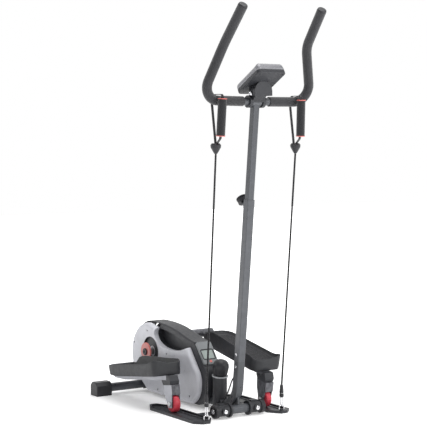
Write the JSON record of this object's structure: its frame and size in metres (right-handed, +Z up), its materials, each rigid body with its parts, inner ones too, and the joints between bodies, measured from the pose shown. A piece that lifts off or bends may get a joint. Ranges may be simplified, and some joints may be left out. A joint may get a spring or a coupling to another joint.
{
  "type": "stand-up strider exercise machine",
  "caption": "Compact stand-up strider: foot trays on a crank and floor tracks, telescoping mast, horn handlebar, elastic hand pulls, small console and a tension dial.",
  "frame": {"origin": "middle of the footprint, on the floor", "axes": "+Z up, -Y towards the mast end, which the rider faces, +X to the rider's left"},
  "size_m": [0.512, 0.9795, 1.4814],
  "materials": {
    "grey_paint": "satin blue-grey powder coat",
    "silver_cover": "satin silver-grey moulding",
    "dark_plastic": "fine-grained dark grey moulding",
    "tray_plastic": "fine-grained dark grey moulding",
    "black_plastic": "black moulding",
    "light_plastic": "light silver panel",
    "screen": "grey-green liquid crystal display under a clear lens",
    "foam": "closed-cell foam sleeve",
    "accent_red": "pinkish red moulding",
    "wheel_red": "red cast wheel",
    "webbing": "black webbing",
    "elastic": "black elastic cord",
    "chrome": "bright plated",
    "steel": "plain steel",
    "silver_paint": "silver paint",
    "iron": "machined",
    "belt_rubber": "ribbed belt"
  },
  "bodies": {
    "frame": {"main_frame": "grey_paint", "front_caps": "dark_plastic", "frame_bolts": "chrome", "rear_stabilizer": "grey_paint", "rear_feet": "black_plastic", "right_track": "dark_plastic", "left_track": "dark_plastic", "cord_rings": "chrome", "lower_mast": "grey_paint", "centre_shell": "dark_plastic", "right_cover": "silver_cover", "left_cover": "silver_cover", "cover_screws": "black_plastic", "base_console": "light_plastic", "base_display": "screen", "dial_rim": "light_plastic", "crank_bearings": "steel", "drive_axles": "steel", "drive_belt": "belt_rubber", "right_elastic_cord": "elastic", "left_elastic_cord": "elastic", "cord_hooks": "chrome", "sensor_cable": "black_plastic", "cable_glands": "black_plastic"},
    "mast": {"upper_mast": "grey_paint", "handlebar": "grey_paint", "bar_foams": "foam", "bar_end_caps": "black_plastic", "console_mount": "dark_plastic", "stirrup_grips": "foam", "stirrup_caps": "accent_red", "stirrup_straps": "webbing", "cord_beads": "black_plastic"},
    "console": {"console_case": "light_plastic", "console_back": "dark_plastic", "console_display": "screen", "console_tilt_screw": "chrome"},
    "console_button": {"console_button": "accent_red"},
    "base_button": {"base_button": "accent_red"},
    "adjust_knob": {"adjust_knob": "black_plastic"},
    "tension_knob": {"tension_knob": "black_plastic"},
    "magnet_bracket": {"magnet_bracket": "steel"},
    "crank": {"crank_shaft": "steel", "crank_arms": "silver_paint", "crank_discs": "accent_red", "crank_bolts": "black_plastic", "drive_pulley": "dark_plastic"},
    "flywheel": {"flywheel": "iron"},
    "right_truck": {"right_wheel_bolt": "steel"},
    "right_pedal": {"right_pedal_tray": "tray_plastic", "right_pedal_arm": "silver_paint", "right_pedal_neck": "dark_plastic"},
    "right_pedal_wheel": {"right_pedal_wheel": "wheel_red"},
    "left_truck": {"left_wheel_bolt": "steel"},
    "left_pedal": {"left_pedal_tray": "tray_plastic", "left_pedal_arm": "silver_paint", "left_pedal_neck": "dark_plastic"},
    "left_pedal_wheel": {"left_pedal_wheel": "wheel_red"},
    "right_transport_wheel": {"right_transport_wheel": "black_plastic"},
    "left_transport_wheel": {"left_transport_wheel": "black_plastic"}
  },
  "joints": [
    {"name": "mast_height", "type": "slide", "parent": "frame", "child": "mast", "axis": [0, -0.1011, 0.9949], "range_m": [-0.15, 0.1], "deforming": ["right_elastic_cord", "left_elastic_cord"]},
    {"name": "console_tilt", "type": "hinge", "parent": "mast", "child": "console", "pos_m": [0, -0.33151, 1.178], "axis": [1, 0, 0], "range_deg": [-8, 10]},
    {"name": "console_button_press", "type": "slide", "parent": "console", "child": "console_button", "axis": [0, 0.4848, 0.8746], "range_m": [-0.0012, 0], "stiffness_N_per_m": 400},
    {"name": "base_button_press", "type": "slide", "parent": "frame", "child": "base_button", "axis": [0, -0.78, 0.6258], "range_m": [-0.001, 0], "stiffness_N_per_m": 400},
    {"name": "adjust_knob_turn", "type": "hinge", "parent": "frame", "child": "adjust_knob", "pos_m": [0, -0.25547, 0.76615], "axis": [0, 0.632, 0.7749], "continuous": true},
    {"name": "tension_knob_turn", "type": "hinge", "parent": "frame", "child": "tension_knob", "pos_m": [0, -0.081, 0.129], "axis": [0, -0.1392, 0.9903], "range_deg": [0, 270]},
    {"name": "magnet_swing", "type": "hinge", "parent": "frame", "child": "magnet_bracket", "pos_m": [0, 0.083, 0.183], "axis": [1, 0, 0], "range_deg": [0, 3.4]},
    {"name": "crank_turn", "type": "hinge", "parent": "frame", "child": "crank", "pos_m": [0, 0.331, 0.175], "axis": [1, 0, 0], "range_deg": [-30, 30]},
    {"name": "flywheel_spin", "type": "hinge", "parent": "frame", "child": "flywheel", "pos_m": [0, 0.048, 0.122], "axis": [1, 0, 0], "range_deg": [-96.17, 96.17]},
    {"name": "right_roll", "type": "slide", "parent": "frame", "child": "right_truck", "axis": [0, 1, 0], "range_m": [-0.0422, 0.0422]},
    {"name": "right_tilt", "type": "hinge", "parent": "right_truck", "child": "right_pedal", "pos_m": [0, -0.02731, 0.036], "axis": [1, 0, 0], "range_deg": [-5.28, 5.28]},
    {"name": "right_wheel_spin", "type": "hinge", "parent": "right_truck", "child": "right_pedal_wheel", "pos_m": [0, -0.02731, 0.036], "axis": [1, 0, 0], "range_deg": [-75.56, 75.56]},
    {"name": "left_roll", "type": "slide", "parent": "frame", "child": "left_truck", "axis": [0, 1, 0], "range_m": [-0.05665, 0.05665]},
    {"name": "left_tilt", "type": "hinge", "parent": "left_truck", "child": "left_pedal", "pos_m": [0, -0.13158, 0.036], "axis": [1, 0, 0], "range_deg": [-5.89, 5.89]},
    {"name": "left_wheel_spin", "type": "hinge", "parent": "left_truck", "child": "left_pedal_wheel", "pos_m": [0, -0.13158, 0.036], "axis": [1, 0, 0], "range_deg": [-101.44, 101.44]},
    {"name": "right_transport_spin", "type": "hinge", "parent": "frame", "child": "right_transport_wheel", "pos_m": [0, -0.201, 0.027], "axis": [1, 0, 0], "continuous": true},
    {"name": "left_transport_spin", "type": "hinge", "parent": "frame", "child": "left_transport_wheel", "pos_m": [0, -0.201, 0.027], "axis": [1, 0, 0], "continuous": true}
  ],
  "couplings": [
    {"joint": "flywheel_spin", "follows": "crank_turn", "ratio": 3.1429},
    {"joint": "right_roll", "follows": "crank_turn", "m_per_rad": 0.079021},
    {"joint": "right_tilt", "follows": "crank_turn", "ratio": 0.17244},
    {"joint": "right_wheel_spin", "follows": "crank_turn", "ratio": -2.4694},
    {"joint": "left_roll", "follows": "crank_turn", "m_per_rad": -0.10608},
    {"joint": "left_tilt", "follows": "crank_turn", "ratio": -0.19247},
    {"joint": "left_wheel_spin", "follows": "crank_turn", "ratio": 3.315},
    {"joint": "magnet_swing", "follows": "tension_knob_turn", "ratio": 0.0125}
  ]
}
